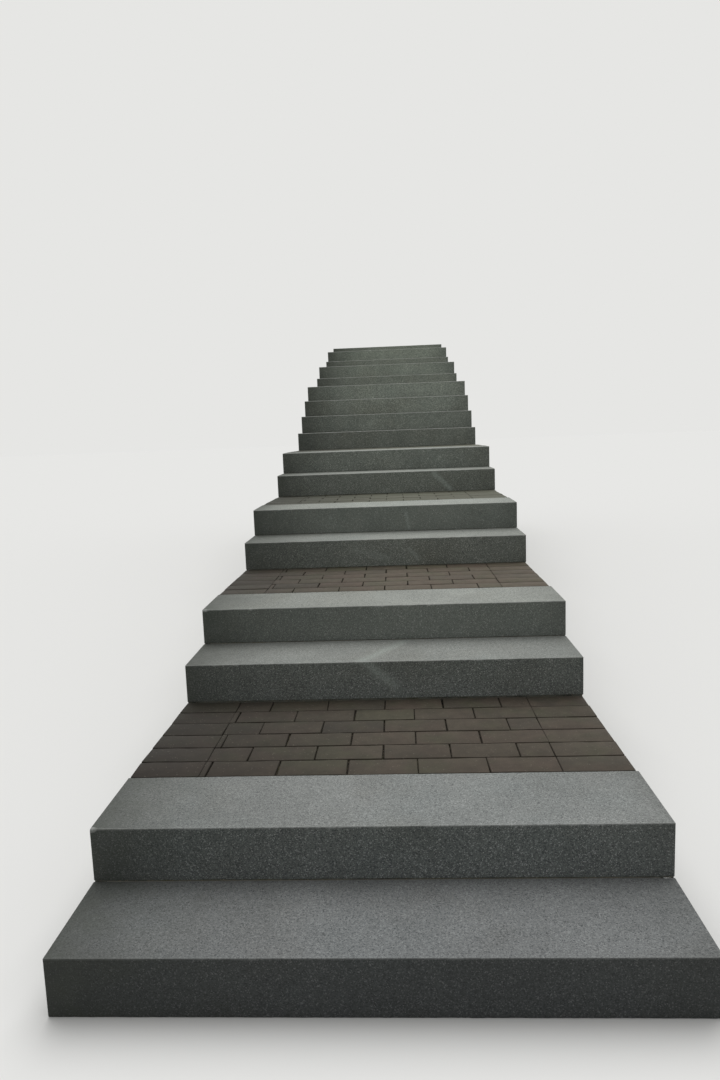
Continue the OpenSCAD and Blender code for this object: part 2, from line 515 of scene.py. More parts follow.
def fade(distance, reach):
    """1 at no distance, falling off over a reach."""
    return np.exp(-distance / reach)


def direction(angle):
    """The unit vector at an angle."""
    return np.array([math.cos(angle), math.sin(angle)])


def loft(name, grid, materials):
    """A closed, smooth skin over rows of rings, with the first and last ring filled in."""
    rows, ring = grid.shape[:2]
    faces = [tuple(range(ring)), tuple(reversed(range((rows - 1) * ring, rows * ring)))]
    for row in range(rows - 1):
        for index in range(ring):
            beside = (index + 1) % ring
            faces.append((row * ring + index, (row + 1) * ring + index,
                          (row + 1) * ring + beside, row * ring + beside))
    mesh = new_mesh(name, grid.reshape(-1, 3).tolist(), faces=faces)
    mesh.polygons.foreach_set("use_smooth", [True] * len(faces))
    face_outwards(mesh)
    return new_object(name, mesh, materials)


def arris_line(random, places, wear, props, chips):
    """The rounding of one arris along a block, and how fresh the broken stone is there."""
    radius = np.full(len(places), wear * props.arris)
    for spacing in ARRIS_WAVES:
        radius += wander(random, places, spacing, props.wander * WAVE_SHARE)
    fresh = np.zeros(len(places))
    for middle, half, depth in chips:
        dent = np.clip(1 - ((places - middle) / half) ** 2, 0, 1)
        radius += depth * dent
        # A shallow chip shows little fresh stone
        fresh = np.maximum(fresh, 0.6 * dent * min(depth / (4 * MM), 1) ** 2)
    return np.clip(radius, 0.5 * MM, None), fresh


def block_section(name, places, inset, props, random):
    """The points round a block's cross-section at each place along it, and how pale each is, from
    fresh stone and from the painted highlight along the front arris.
    """
    low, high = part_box(name)
    # The corners in the order of the ring, each with its own arris
    corners = [(low.y, low.z), (low.y, high.z - props.wash), (high.y, high.z), (high.y, low.z)]
    inwards = [(1, 1), (1, -1), (-1, -1), (-1, 1)]
    outwards = [math.atan2(-up, -back) for back, up in inwards]
    knocks = [(random.uniform(low.x, high.x), random.uniform(*KNOCK_HALF) * MM,
               random.uniform(0.5, 1) ** 3 * KNOCK_DEPTH * MM)
              for _ in range(round((high.x - low.x) / KNOCK_PITCH))]
    knocks += [(low.x + along, half, depth) for along, half, depth in CHIPS.get(name, ())]
    lines = [arris_line(random, places, wear, props, chips)
             for wear, chips in ((1.0, ()), (1.0, knocks), (0.8, ()), (1.0, ()))]
    arcs = []
    for (radius, _), corner, inward, outward in zip(lines, corners, inwards, outwards):
        radius = np.maximum(radius, inset)
        centre = np.array(corner) + radius[:, None] * np.array(inward)
        bend = np.maximum(radius - inset, 0.05 * MM)
        arc = []
        for turn in (-2, -1, 0, 1, 2):
            uneven = random.uniform(-ARRIS_UNEVEN, ARRIS_UNEVEN, len(places)) * (turn == 0)
            bent = (bend * (1 + uneven))[:, None]
            arc.append(centre + bent * direction(outward - turn * math.pi / 8))
        arcs.append(arc)
    points, fresh = [], []
    for index, count in enumerate(SIDE_POINTS):
        points += arcs[index]
        # The front arris is paler, partly worn by feet and partly a painted highlight along the
        # nosing, and it is painted paler up the stair
        worn = 0.1 + 0.8 * min(low.z / 1.2, 1) if index == 1 else 0
        fresh += [np.maximum(lines[index][1], worn)] * len(arcs[index])
        first, last = arcs[index][-1], arcs[(index + 1) % 4][0]
        outward = direction(outwards[index] - math.pi / 4)
        # A guard point beside each arris keeps the shading of the face flat
        guard = 2.5 * MM / np.linalg.norm(last - first, axis=1).mean()
        for share in (guard, *(np.arange(1, count) / count), 1 - guard):
            hollow = np.abs(wander(random, places, 0.05, props.relief)) * (inset == 0)
            hollow *= 0.3 if share in (guard, 1 - guard) else 1.0
            points.append(first * (1 - share) + last * share - outward * hollow[:, None])
            fresh.append(np.zeros(len(places)))
    return points, fresh


def mark_block(mesh, name, grid, random):
    """Stores how pale, grimy, dirty and scuffed a block is at each of its points, with the painted
    shade and painted light that its tone and grime carry.
    """
    low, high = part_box(name)
    x, y, z = grid[..., 0], grid[..., 1], grid[..., 2]
    from_left, from_right = x - STAIR_LOW.x, STAIR_HIGH.x - x
    # The lowest blocks are darker, and their risers most, partly from feet and splashed dirt and
    # partly as painted shade; the risers are painted lighter up the stair, most of all above 1.3 m,
    # partly as they are cleaner there and partly as painted light
    own = random.uniform(0.97, 1.03) * (1.04 - 0.38 * fade(low.z, 0.2))
    riser_dirt_and_light = 1.10 + 0.25 * low.z - 0.5 * fade(low.z, 0.06) + 1.6 * np.clip(low.z - 1.3, 0, 0.3)
    on_riser = y < low.y + 1 * MM
    # Both ends are darker, partly from damp and partly as painted shade, the left one most, and at
    # the right end the risers more than the treads
    damp = 1 - 0.6 * fade(from_left, 0.22) - np.where(on_riser, 0.22, 0.12) * fade(from_right, 0.1)
    store(mesh, "tone", own * damp * np.where(on_riser, riser_dirt_and_light, PAINTED_LIGHT_TREADS.get(name, 1)))
    # Grime and painted shade along the foot of the riser, at the back of the tread and at both ends
    front, top = y < low.y + 5 * MM, z > high.z - 10 * MM
    ends = 0.8 * fade(from_left, 0.2) + 0.3 * fade(from_right, 0.10)
    foot = 0.2 * fade(z - low.z, 0.012) * front
    rear = 0.12 * fade(high.y - y, 0.015) * top
    store(mesh, "grime_and_shade", np.clip(ends + foot + rear, 0, 1))
    store(mesh, "film", FILMS.get(name, 0.1) * front)
    scuff = np.zeros(grid.shape[:2])
    for face, start, end, half, strength in SCUFFS.get(name, ()):
        spot = np.stack([x - low.x, z - low.z if face == "riser" else y - low.y], -1)
        start, run = np.array(start), np.array(end) - np.array(start)
        share = np.clip(((spot - start) @ run) / (run @ run), 0, 1)
        away = np.linalg.norm(spot - start - share[..., None] * run, axis=-1)
        shown = y < low.y + 4 * MM if face == "riser" else top
        scuff = np.maximum(scuff, strength * np.exp(-(away / half) ** 2) * shown)
    store(mesh, "scuff", scuff)


def block_piece(name, props, materials):
    """One granite block: a ring of points round its cross-section, carried from end to end."""
    low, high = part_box(name)
    random = np.random.default_rng(sum(map(ord, name)) * 7)
    # Each end is rounded off in five rings, and the rings between them are a facet apart
    end_round = props.arris
    turns = np.radians(np.linspace(90, 0, 5))
    inner = np.linspace(low.x + 2 * end_round, high.x - 2 * end_round,
                        round((high.x - low.x) / props.facet))
    places = np.concatenate([low.x + end_round * (1 - np.sin(turns)), inner,
                             high.x - end_round * (1 - np.sin(turns[::-1]))])
    bend_in = end_round * (1 - np.cos(turns))
    inset = np.concatenate([bend_in, np.zeros(len(inner)), bend_in[::-1]])
    points, fresh = block_section(name, places, inset, props, random)
    body = np.empty((len(places), len(points), 3))
    body[:, :, 0] = places[:, None]
    body[:, :, 1:] = np.array(points).transpose(1, 0, 2)
    middle = np.array([(low.y + high.y) / 2, (low.z + high.z) / 2])
    caps = []
    for ring, into in ((body[0], 1), (body[-1], -1)):
        for share in CAP_SHARES:
            cap = ring.copy()
            cap[:, 1:] += (middle - cap[:, 1:]) * share
            # All but the outermost ring of an end are uneven
            if share > CAP_SHARES[-1]:
                cap[:, 0] += [into * props.relief * (0.5 + 0.5 * noise.noise(Vector(spot) * 20))
                              for spot in cap]
            caps.append(cap)
    rings = len(CAP_SHARES)
    grid = np.concatenate([caps[:rings], body, caps[:rings - 1:-1]])
    piece = loft(name + "_stone", grid, materials)
    # Fresh chips, and the painted highlight along the front arris
    chip_and_highlight = np.zeros(grid.shape[:2])
    chip_and_highlight[rings:-rings] = np.array(fresh).T
    store(piece.data, "chip_and_highlight", chip_and_highlight)
    mark_block(piece.data, name, grid, random)
    normals = np.empty(len(piece.data.polygons) * 3)
    piece.data.polygons.foreach_get("normal", normals)
    # The front arris takes the paler tread material, partly as worn stone and partly as a painted
    # highlight
    piece.data.polygons.foreach_set("material_index", (normals[2::3] < 0.15).astype(np.int32))
    piece.data.update()
    finish_piece(piece, "granite", name)


# Geometry Nodes


def geometry_tree(name, inputs):
    """A node tree for a modifier, and the outputs of its group input."""
    tree = bpy.data.node_groups.new(name, "GeometryNodeTree")
    tree.interface.new_socket("Geometry", in_out="INPUT", socket_type="NodeSocketGeometry")
    tree.interface.new_socket("Geometry", in_out="OUTPUT", socket_type="NodeSocketGeometry")
    for label, kind in inputs.items():
        tree.interface.new_socket(label, in_out="INPUT", socket_type="NodeSocket" + kind)
    return tree, add(tree, "NodeGroupInput").outputs


def end_tree(tree, geometry, material):
    """Ends a tree: makes its instances real, sets their material and hands them out."""
    real = add(tree, "GeometryNodeRealizeInstances", {"Geometry": geometry})
    painted = add(tree, "GeometryNodeSetMaterial", {"Geometry": real, "Material": material})
    add(tree, "NodeGroupOutput", {0: painted})


def grown(name, source, tree, values):
    """Runs a node tree on a source mesh and returns the result as a plain mesh object."""
    holder = new_object(name + "_source", source)
    modifier = holder.modifiers.new("grow", "NODES")
    modifier.node_group = tree
    for socket in tree.interface.items_tree:
        if socket.name in values:
            modifier[socket.identifier] = values[socket.name]
    mesh = evaluated_mesh(holder)
    mesh.name = name
    bpy.data.objects.remove(holder)
    return new_object(name, mesh)


def laid_boxes(tree, given, where):
    """A box on each point, which keeps the point's centre and its random tone, lie and turn."""
    tone = add(tree, "FunctionNodeRandomValue", {"Seed": given["Seed"]}, data_type="FLOAT")
    # The lie is a random vector: a tilt along the paver, one across it, and a rise or fall
    lie = add(tree, "FunctionNodeRandomValue", {
        0: (-1.0, -1.0, -1.0), 1: (1.0, 1.0, 1.0), "Seed": given["Seed"]}, data_type="FLOAT_VECTOR")
    other = add(tree, "ShaderNodeMath", {0: given["Seed"], 1: 500.0}, "ADD")
    turn = add(tree, "FunctionNodeRandomValue", {2: -1.0, 3: 1.0, "Seed": other}, data_type="FLOAT")
    points = given["Geometry"]
    for label, kind, value in (("centre", "FLOAT_VECTOR", where), ("tone", "FLOAT", tone),
                               ("lie", "FLOAT_VECTOR", lie), ("turn", "FLOAT", turn)):
        points = add(tree, "GeometryNodeStoreNamedAttribute", {
            "Geometry": points, "Name": label, "Value": value}, data_type=kind, domain="POINT")
    columns, rows, layers = PAVER_POINTS
    box = add(tree, "GeometryNodeMeshCube", {
        "Size": (2.0, 2.0, 2.0), "Vertices X": columns, "Vertices Y": rows, "Vertices Z": layers})
    local = add(tree, "GeometryNodeStoreNamedAttribute", {
        "Geometry": box, "Name": "local", "Value": where}, data_type="FLOAT_VECTOR", domain="POINT")
    laid = add(tree, "GeometryNodeInstanceOnPoints", {"Points": points, "Instance": local})
    return add(tree, "GeometryNodeRealizeInstances", {"Geometry": laid})


def rounded_place(tree, given, read):
    """Where a point of a box lies on a paver with rounded arrises, and on how many faces it is."""
    # 1 on the axes where a point lies on the box's skin, and how many such axes it has
    size = add(tree, "ShaderNodeVectorMath", {0: read["local"]}, "ABSOLUTE")
    past = add(tree, "ShaderNodeVectorMath", {0: size, 1: (0.99, 0.99, 0.99)}, "SUBTRACT")
    outer = add(tree, "ShaderNodeVectorMath", {0: past}, "CEIL")
    axes = add(tree, "ShaderNodeVectorMath", {0: outer, 1: (1.0, 1.0, 1.0)}, "DOT_PRODUCT")
    # Points inside the skin spread up to the arris; the edge and corner points draw in
    inner = tuple(1 / (1 - 2 / (count - 1)) for count in PAVER_POINTS)
    spread = add(tree, "ShaderNodeVectorMath", {0: read["local"], 1: inner}, "MULTIPLY")
    most = add(tree, "ShaderNodeVectorMath", {0: spread, 1: (1.0, 1.0, 1.0)}, "MINIMUM")
    side = add(tree, "ShaderNodeVectorMath", {0: most, 1: (-1.0, -1.0, -1.0)}, "MAXIMUM")
    root = add(tree, "ShaderNodeMath", {0: axes}, "INVERSE_SQRT")
    reach = add(tree, "ShaderNodeMath", {0: given["Arris"], 1: root}, "MULTIPLY")
    stand = add(tree, "ShaderNodeVectorMath", {0: outer, 1: reach}, "MULTIPLY")
    whole = add(tree, "ShaderNodeCombineXYZ", {
        "X": read["piece_length"], "Y": given["Width"], "Z": given["Thickness"]})
    half = add(tree, "ShaderNodeVectorMath", {0: whole, "Scale": 0.5}, "SCALE")
    core = add(tree, "ShaderNodeVectorMath", {0: half, 1: given["Arris"]}, "SUBTRACT")
    extent = add(tree, "ShaderNodeVectorMath", {0: core, 1: stand}, "ADD")
    return add(tree, "ShaderNodeVectorMath", {0: side, 1: extent}, "MULTIPLY"), axes


def paver_lift(tree, given, read):
    """How far a point rises: the paver's top tilts and rises or falls, and its foot stays."""
    level = add(tree, "ShaderNodeVectorMath", {0: read["local"], 1: (1.0, 1.0, 0.0)}, "MULTIPLY")
    poise = add(tree, "ShaderNodeVectorMath", {0: level, 1: (0.0, 0.0, 1.0)}, "ADD")
    lift = add(tree, "ShaderNodeVectorMath", {0: poise, 1: read["lie"]}, "DOT_PRODUCT")
    axis = add(tree, "ShaderNodeSeparateXYZ", {"Vector": read["local"]}).outputs
    top = add(tree, "ShaderNodeMath", {0: axis["Z"], 1: 0.5, 2: 0.5}, "MULTIPLY_ADD")
    slack = add(tree, "ShaderNodeMath", {0: top, 1: given["Lie"]}, "MULTIPLY")
    rise = add(tree, "ShaderNodeMath", {0: lift, 1: slack}, "MULTIPLY")
    return add(tree, "ShaderNodeCombineXYZ", {"Z": rise})


def paver_stray(tree, given, read, place):
    """How far a point wanders sideways, as no edge is straight, and each paver in its own way."""
    spot = add(tree, "ShaderNodeVectorMath", {
        0: read["centre"], 1: (5.0, 5.0, 5.0), 2: place}, "MULTIPLY_ADD")
    wave = add(tree, "ShaderNodeTexNoise", {"Vector": spot, "Scale": 30.0, "Detail": 1.0}).outputs
    centred = add(tree, "ShaderNodeVectorMath", {0: wave["Color"], 1: (0.5, 0.5, 0.5)}, "SUBTRACT")
    sideways = add(tree, "ShaderNodeVectorMath", {0: centred, 1: (4.0, 4.0, 0.0)}, "MULTIPLY")
    return add(tree, "ShaderNodeVectorMath", {0: sideways, 1: given["Ragged"]}, "MULTIPLY")


def paver_tree():
    """Lays one paver on each point: a box with rounded arrises, in the length the point names."""
    tree, given = geometry_tree("lay_pavers", {
        "Width": "Float", "Thickness": "Float", "Arris": "Float", "Lie": "Float",
        "Turn": "Float", "Ragged": "Float", "Seed": "Int", "Material": "Material"})
    boxes = laid_boxes(tree, given, add(tree, "GeometryNodeInputPosition"))
    read = {}
    for label, kind in (("centre", "FLOAT_VECTOR"), ("local", "FLOAT_VECTOR"),
                        ("lie", "FLOAT_VECTOR"), ("turn", "FLOAT"), ("piece_length", "FLOAT")):
        read[label] = add(tree, "GeometryNodeInputNamedAttribute", {"Name": label}, data_type=kind)
    place, axes = rounded_place(tree, given, read)
    angle = add(tree, "ShaderNodeMath", {0: read["turn"], 1: given["Turn"]}, "MULTIPLY")
    place = add(tree, "ShaderNodeVectorRotate", {"Vector": place, "Angle": angle},
                rotation_type="Z_AXIS")
    for shift in (read["centre"], paver_lift(tree, given, read)):
        place = add(tree, "ShaderNodeVectorMath", {0: place, 1: shift}, "ADD")
    stray = paver_stray(tree, given, read, place)
    place = add(tree, "ShaderNodeVectorMath", {0: place, 1: stray}, "ADD")
    moved = add(tree, "GeometryNodeSetPosition", {"Geometry": boxes, "Position": place})
    # The arrises are marked for the material, which darkens them with dirt and painted shade
    edge = add(tree, "ShaderNodeMath", {0: axes, 1: 1.0}, "SUBTRACT", use_clamp=True)
    edged = add(tree, "GeometryNodeStoreNamedAttribute", {
        "Geometry": moved, "Name": "arris", "Value": edge}, data_type="FLOAT", domain="POINT")
    smooth = add(tree, "GeometryNodeSetShadeSmooth", {"Geometry": edged})
    end_tree(tree, smooth, given["Material"])
    return tree


def joint_tree():
    """Sweeps a rough filling, a rectangle with rounded edges, along each edge of the source."""
    tree, given = geometry_tree("fill_joints", {
        "Width": "Float", "Depth": "Float", "Round": "Float", "Piece": "Float",
        "Roughness": "Float", "Material": "Material"})
    curve = add(tree, "GeometryNodeMeshToCurve", {"Mesh": given["Geometry"]})
    fine = add(tree, "GeometryNodeResampleCurve", {"Curve": curve, "Length": given["Piece"]},
               mode="LENGTH")
    rough = add(tree, "ShaderNodeTexNoise", {"Scale": 45.0, "Detail": 5.0})
    # The filling wanders up and down only, within the length and width of its joint
    height = add(tree, "ShaderNodeMath", {0: rough, 1: 0.5}, "SUBTRACT")
    shift = add(tree, "ShaderNodeMath", {0: height, 1: given["Roughness"]}, "MULTIPLY")
    upwards = add(tree, "ShaderNodeCombineXYZ", {"Z": shift})
    moved = add(tree, "GeometryNodeSetPosition", {"Geometry": fine, "Offset": upwards})
    upright = add(tree, "GeometryNodeSetCurveNormal", {"Curve": moved}, mode="Z_UP")
    outline = add(tree, "GeometryNodeCurvePrimitiveQuadrilateral", {
        "Width": given["Width"], "Height": given["Depth"]})
    eased = add(tree, "GeometryNodeFilletCurve", {
        "Curve": outline, "Count": 2, "Radius": given["Round"]}, mode="POLY")
    filling = add(tree, "GeometryNodeCurveToMesh", {
        "Curve": upright, "Profile Curve": eased, "Fill Caps": True})
    end_tree(tree, filling, given["Material"])
    return tree


def tie_tree():
    """Puts one tapered plug on each point, turned along its normal, to cut the tie holes with."""
    tree, given = geometry_tree("tie_holes", {
        "Radius": "Float", "Depth": "Float", "Material": "Material"})
    inner = add(tree, "ShaderNodeMath", {0: given["Radius"], 1: 0.75}, "MULTIPLY")
    twice = add(tree, "ShaderNodeMath", {0: given["Depth"], 1: 2.0}, "MULTIPLY")
    cone = add(tree, "GeometryNodeMeshCone", {
        "Vertices": 20, "Radius Top": given["Radius"], "Radius Bottom": inner, "Depth": twice})
    sunk = add(tree, "ShaderNodeMath", {0: given["Depth"], 1: -1.0}, "MULTIPLY")
    drop = add(tree, "ShaderNodeCombineXYZ", {"Z": sunk})
    centred = add(tree, "GeometryNodeSetPosition", {"Geometry": cone, "Offset": drop})
    facing = add(tree, "GeometryNodeInputNamedAttribute", {"Name": "facing"},
                 data_type="FLOAT_VECTOR")
    turned = add(tree, "FunctionNodeAlignRotationToVector", {"Vector": facing}, axis="Z")
    set_out = add(tree, "GeometryNodeInstanceOnPoints", {
        "Points": given["Geometry"], "Instance": centred, "Rotation": turned})
    end_tree(tree, set_out, given["Material"])
    return tree


# Landings and joints


def joint_piece(name, joints, tree, material, width, depth, rounding, spacing, roughness):
    """The filling of some joints, each given by its two ends."""
    ends = [end for joint in joints for end in joint]
    source = new_mesh(name + "_lines", ends, [(i, i + 1) for i in range(0, len(ends), 2)])
    piece = grown(name, source, tree, {
        "Width": width, "Depth": depth, "Round": rounding, "Piece": spacing,
        "Roughness": roughness, "Material": material})
    finish_piece(piece, "bedding")


def paver_rows(number, low, high, props):
    """The centre of each paver on a landing, seen from above, and its length along the row.

    Stacked border pavers close both sides; between them the rows shift by half a paver, and so
    does the first row from one landing to the next.
    """
    whole, joint = props.length, props.joint
    least_cut = 5 * MM
    module = (high.y - low.y + joint) / props.rows
    gap = (high.x - low.x) - 2 * (whole + joint) - joint
    half = (whole - joint) / 2
    pavers = []
    for row in range(props.rows):
        middle = low.y + (row + 0.5) * module - joint / 2
        tail = 0.0 if (row + number) % 2 else half
        room = gap + joint - (tail + joint if tail else 0.0)
        count = int((room - least_cut) // (whole + joint))
        cut = room - count * (whole + joint) - joint
        lengths = [whole, cut] + [whole] * count + ([tail] if tail else []) + [whole]
        place = low.x
        for length in lengths:
            pavers.append((place + length / 2, middle, length))
            place += length + joint
    return pavers, module


def landing_pieces(name, props, trees, materials):
    """A landing's pavers, the sand in their joints and the bed that they lie on."""
    number = int(name.split("_")[-1])
    low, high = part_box(name + "_paving")
    bed_low, bed_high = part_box(name + "_bed")
    thickness, joint, sand_depth = high.z - low.z, props.joint, props.sand_depth
    mortar_depth = 1.5 * MM
    pavers, module = paver_rows(number, low, high, props)
    shifts = np.random.default_rng(number).uniform(-props.shift, props.shift, (len(pavers), 2))
    centres = []
    for (x, y, length), (across, along) in zip(pavers, shifts):
        # The border pavers keep their outer ends in line
        if abs(x) + length / 2 >= high.x - joint:
            across = -math.copysign(BORDER_SET_BACK, x)
        centres.append((x + across, y + along, (low.z + high.z) / 2))
    source = new_mesh(name + "_centres", centres)
    store(source, "piece_length", [length for _, _, length in pavers])
    piece = grown(name + "_pavers", source, trees["pavers"], {
        "Width": module - joint, "Thickness": thickness, "Arris": props.bevel, "Lie": props.lie,
        "Turn": props.turn, "Ragged": props.ragged, "Seed": number * 11,
        "Material": materials["fired_clay"]})
    finish_piece(piece, "clay_pavers", name + "_paving")

    # Joints between the rows, in each row, behind the block in front and before the riser
    left, right = low.x + FILLING_SET_BACK, high.x - FILLING_SET_BACK
    rows = [low.y + row * module - joint / 2 for row in range(1, props.rows)]
    cross = [(x + length / 2 + joint / 2, y) for x, y, length in pavers
             if x + length / 2 < high.x - joint]
    front, head = (low.y + bed_low.y) / 2, (high.y + bed_high.y) / 2
    for label, joints, width, sunk, filling in (
            ("rows", [((left, y), (right, y)) for y in rows], joint, sand_depth, "joint_sand"),
            ("ends", [((x, y - module / 2), (x, y + module / 2)) for x, y in cross],
             joint, sand_depth, "joint_sand"),
            ("front", [((left, front), (right, front))],
             low.y - bed_low.y, sand_depth, "joint_sand"),
            ("head", [((left, head), (right, head))],
             bed_high.y - high.y, mortar_depth, "joint_mortar")):
        depth = thickness - sunk
        joints = [[(*end, low.z + depth / 2) for end in joint_ends] for joint_ends in joints]
        joint_piece(f"{name}_sand_{label}", joints, trees["joints"], materials[filling], width,
                    depth, rounding=min(0.8 * MM, width / 4), spacing=15 * MM, roughness=5 * MM)
    bed_piece(name + "_bed", bed_low, bed_high, materials["bedding_mortar"])


def bed_piece(name, low, high, material):
    """The bed of a landing, with crumbled edges."""
    random = np.random.default_rng(sum(map(ord, name)))
    rings, crumb_pitch, crumb, grit = 60, 30 * MM, 5 * MM, 2 * MM
    places = np.linspace(low.y, high.y, rings)
    around = [(-1, 0), (-1, 0.35), (-1, 0.7), (-1, 1), (-0.5, 1), (0, 1), (0.5, 1), (1, 1),
              (1, 0.7), (1, 0.35), (1, 0), (0.5, 0), (0, 0), (-0.5, 0)]
    grid = np.empty((rings, len(around), 3))
    for index, (side, up) in enumerate(around):
        crumbled = np.abs(wander(random, places, crumb_pitch, crumb))
        crumbled += random.uniform(0, grit, rings)
        half = (high.x - low.x) / 2 - crumbled * (abs(side) == 1)
        grid[:, index, 0] = side * half + (low.x + high.x) / 2
        grid[:, index, 1] = places
        grid[:, index, 2] = low.z + (high.z - low.z) * up
    piece = loft(name.replace("_bed", "_bedding"), grid, [material])
    finish_piece(piece, "bedding", name)


def block_joint_pieces(tree, materials):
    """The mortar where each riser meets the tread below it, and where two blocks meet."""
    feet, uprights = [], []
    sunk = 3 * MM
    for name in STEPS:
        low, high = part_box(name)
        # The lowest riser has no tread below it
        if low.z > STAIR_LOW.z + 5 * MM:
            feet.append([(x, low.y, low.z)
                         for x in (low.x + FILLING_SET_BACK, high.x - FILLING_SET_BACK)])
        if name.endswith("_left"):
            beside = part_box(name.replace("_left", "_right"))[0]
            x = (high.x + beside.x) / 2
            nose = (x, low.y + sunk, high.z - 2 * sunk)
            uprights += [((x, low.y + sunk, low.z), nose), (nose, (x, high.y, high.z - sunk))]
    for name, joints, filling in (("riser_joints", feet, "joint_mortar"),
                                  ("block_joint", uprights, "pointing_mortar")):
        joint_piece(name, joints, tree, materials[filling], width=5 * MM, depth=3.5 * MM,
                    rounding=1.2 * MM, spacing=10 * MM, roughness=3 * MM)


# Foundation


def refined(values, step):
    """Sorted grid lines: the given values, with the longer gaps divided."""
    lines = sorted({round(value, 4) for value in values})
    result = [lines[0]]
    for line in lines[1:]:
        start = result[-1]
        parts = max(1, math.ceil((line - start) / step - 0.01))
        result += [start + (line - start) * part / parts for part in range(1, parts + 1)]
    return np.array(result)


def board_face(random, height, props):
    """How far a formed face lies back at a point: its board's own depth, less the fin on a seam."""
    board = props.board
    courses = int(height / board) + 3
    # Each board has a depth of its own and bows a little, and the fin at its seam is ragged
    stand = random.uniform(0.15, 1, courses) * props.board_step + 0.2 * MM
    fins = random.uniform(0.0, 1, courses) * props.fin
    warp = random.uniform(-1, 1, (courses, BOW_VALUES)) * 0.4 * MM
    ragged = random.uniform(0, 1, (courses, FIN_VALUES))

    def relief(along, z):
        # Counted from a point outside the stair, so that it is never negative
        along += 10
        seam = round(z / board)
        if seam > 0 and abs(z - seam * board) < 1e-6:
            tall = fins[seam] * ragged[seam][int(along * FINS_A_METRE) % FIN_VALUES]
            return max(0.0, min(stand[seam], stand[seam - 1]) - tall)
        course = int(math.floor(z / board + 1e-6))
        knot, share = divmod(along * BOWS_A_METRE, 1)
        before, after = (warp[course][int(place) % BOW_VALUES] for place in (knot, knot + 1))
        return max(0.0, stand[course] + before * (1 - share) + after * share)

    return relief


def tie_places(low, high, ys, zs, inside, half, last, pitch):
    """Where the formwork's ties were and how each faces: on both sides, and at the stair's back."""
    places = []
    for z in np.arange(TIES_UP, high.z, pitch):
        for y in np.arange(low.y + TIES_FRONT, high.y - TIES_REAR, pitch):
            # A hole needs solid faces for some way round it
            j, k = np.searchsorted(ys, y) - 1, np.searchsorted(zs, z) - 1
            if inside[max(0, j - 2):j + 3, max(0, k - 3):k + 4].all():
                places += [((side * half, y, z), (side, 0, 0)) for side in (-1, 1)]
        if last and z < high.z - TIES_DOWN:
            places += [((x, high.y, z), (0, 1, 0)) for x in (-TIES_APART, 0.0, TIES_APART)]
    return places


def drill_ties(piece, ties, props, tree, material):
    """Cuts the tie holes into a pour."""
    source = new_mesh(piece.name + "_ties", [place for place, _ in ties])
    source.attributes.new("facing", "FLOAT_VECTOR", "POINT").data.foreach_set(
        "vector", np.ravel([facing for _, facing in ties]).astype(float))
    cutter = grown(piece.name + "_plugs", source, tree, {
        "Radius": props.tie_radius, "Depth": props.tie_depth, "Material": material})
    cut = piece.modifiers.new("ties", "BOOLEAN")
    cut.operation, cut.solver, cut.object = "DIFFERENCE", "EXACT", cutter
    drilled = evaluated_mesh(piece)
    piece.modifiers.clear()
    piece.data = drilled
    bpy.data.objects.remove(cutter)


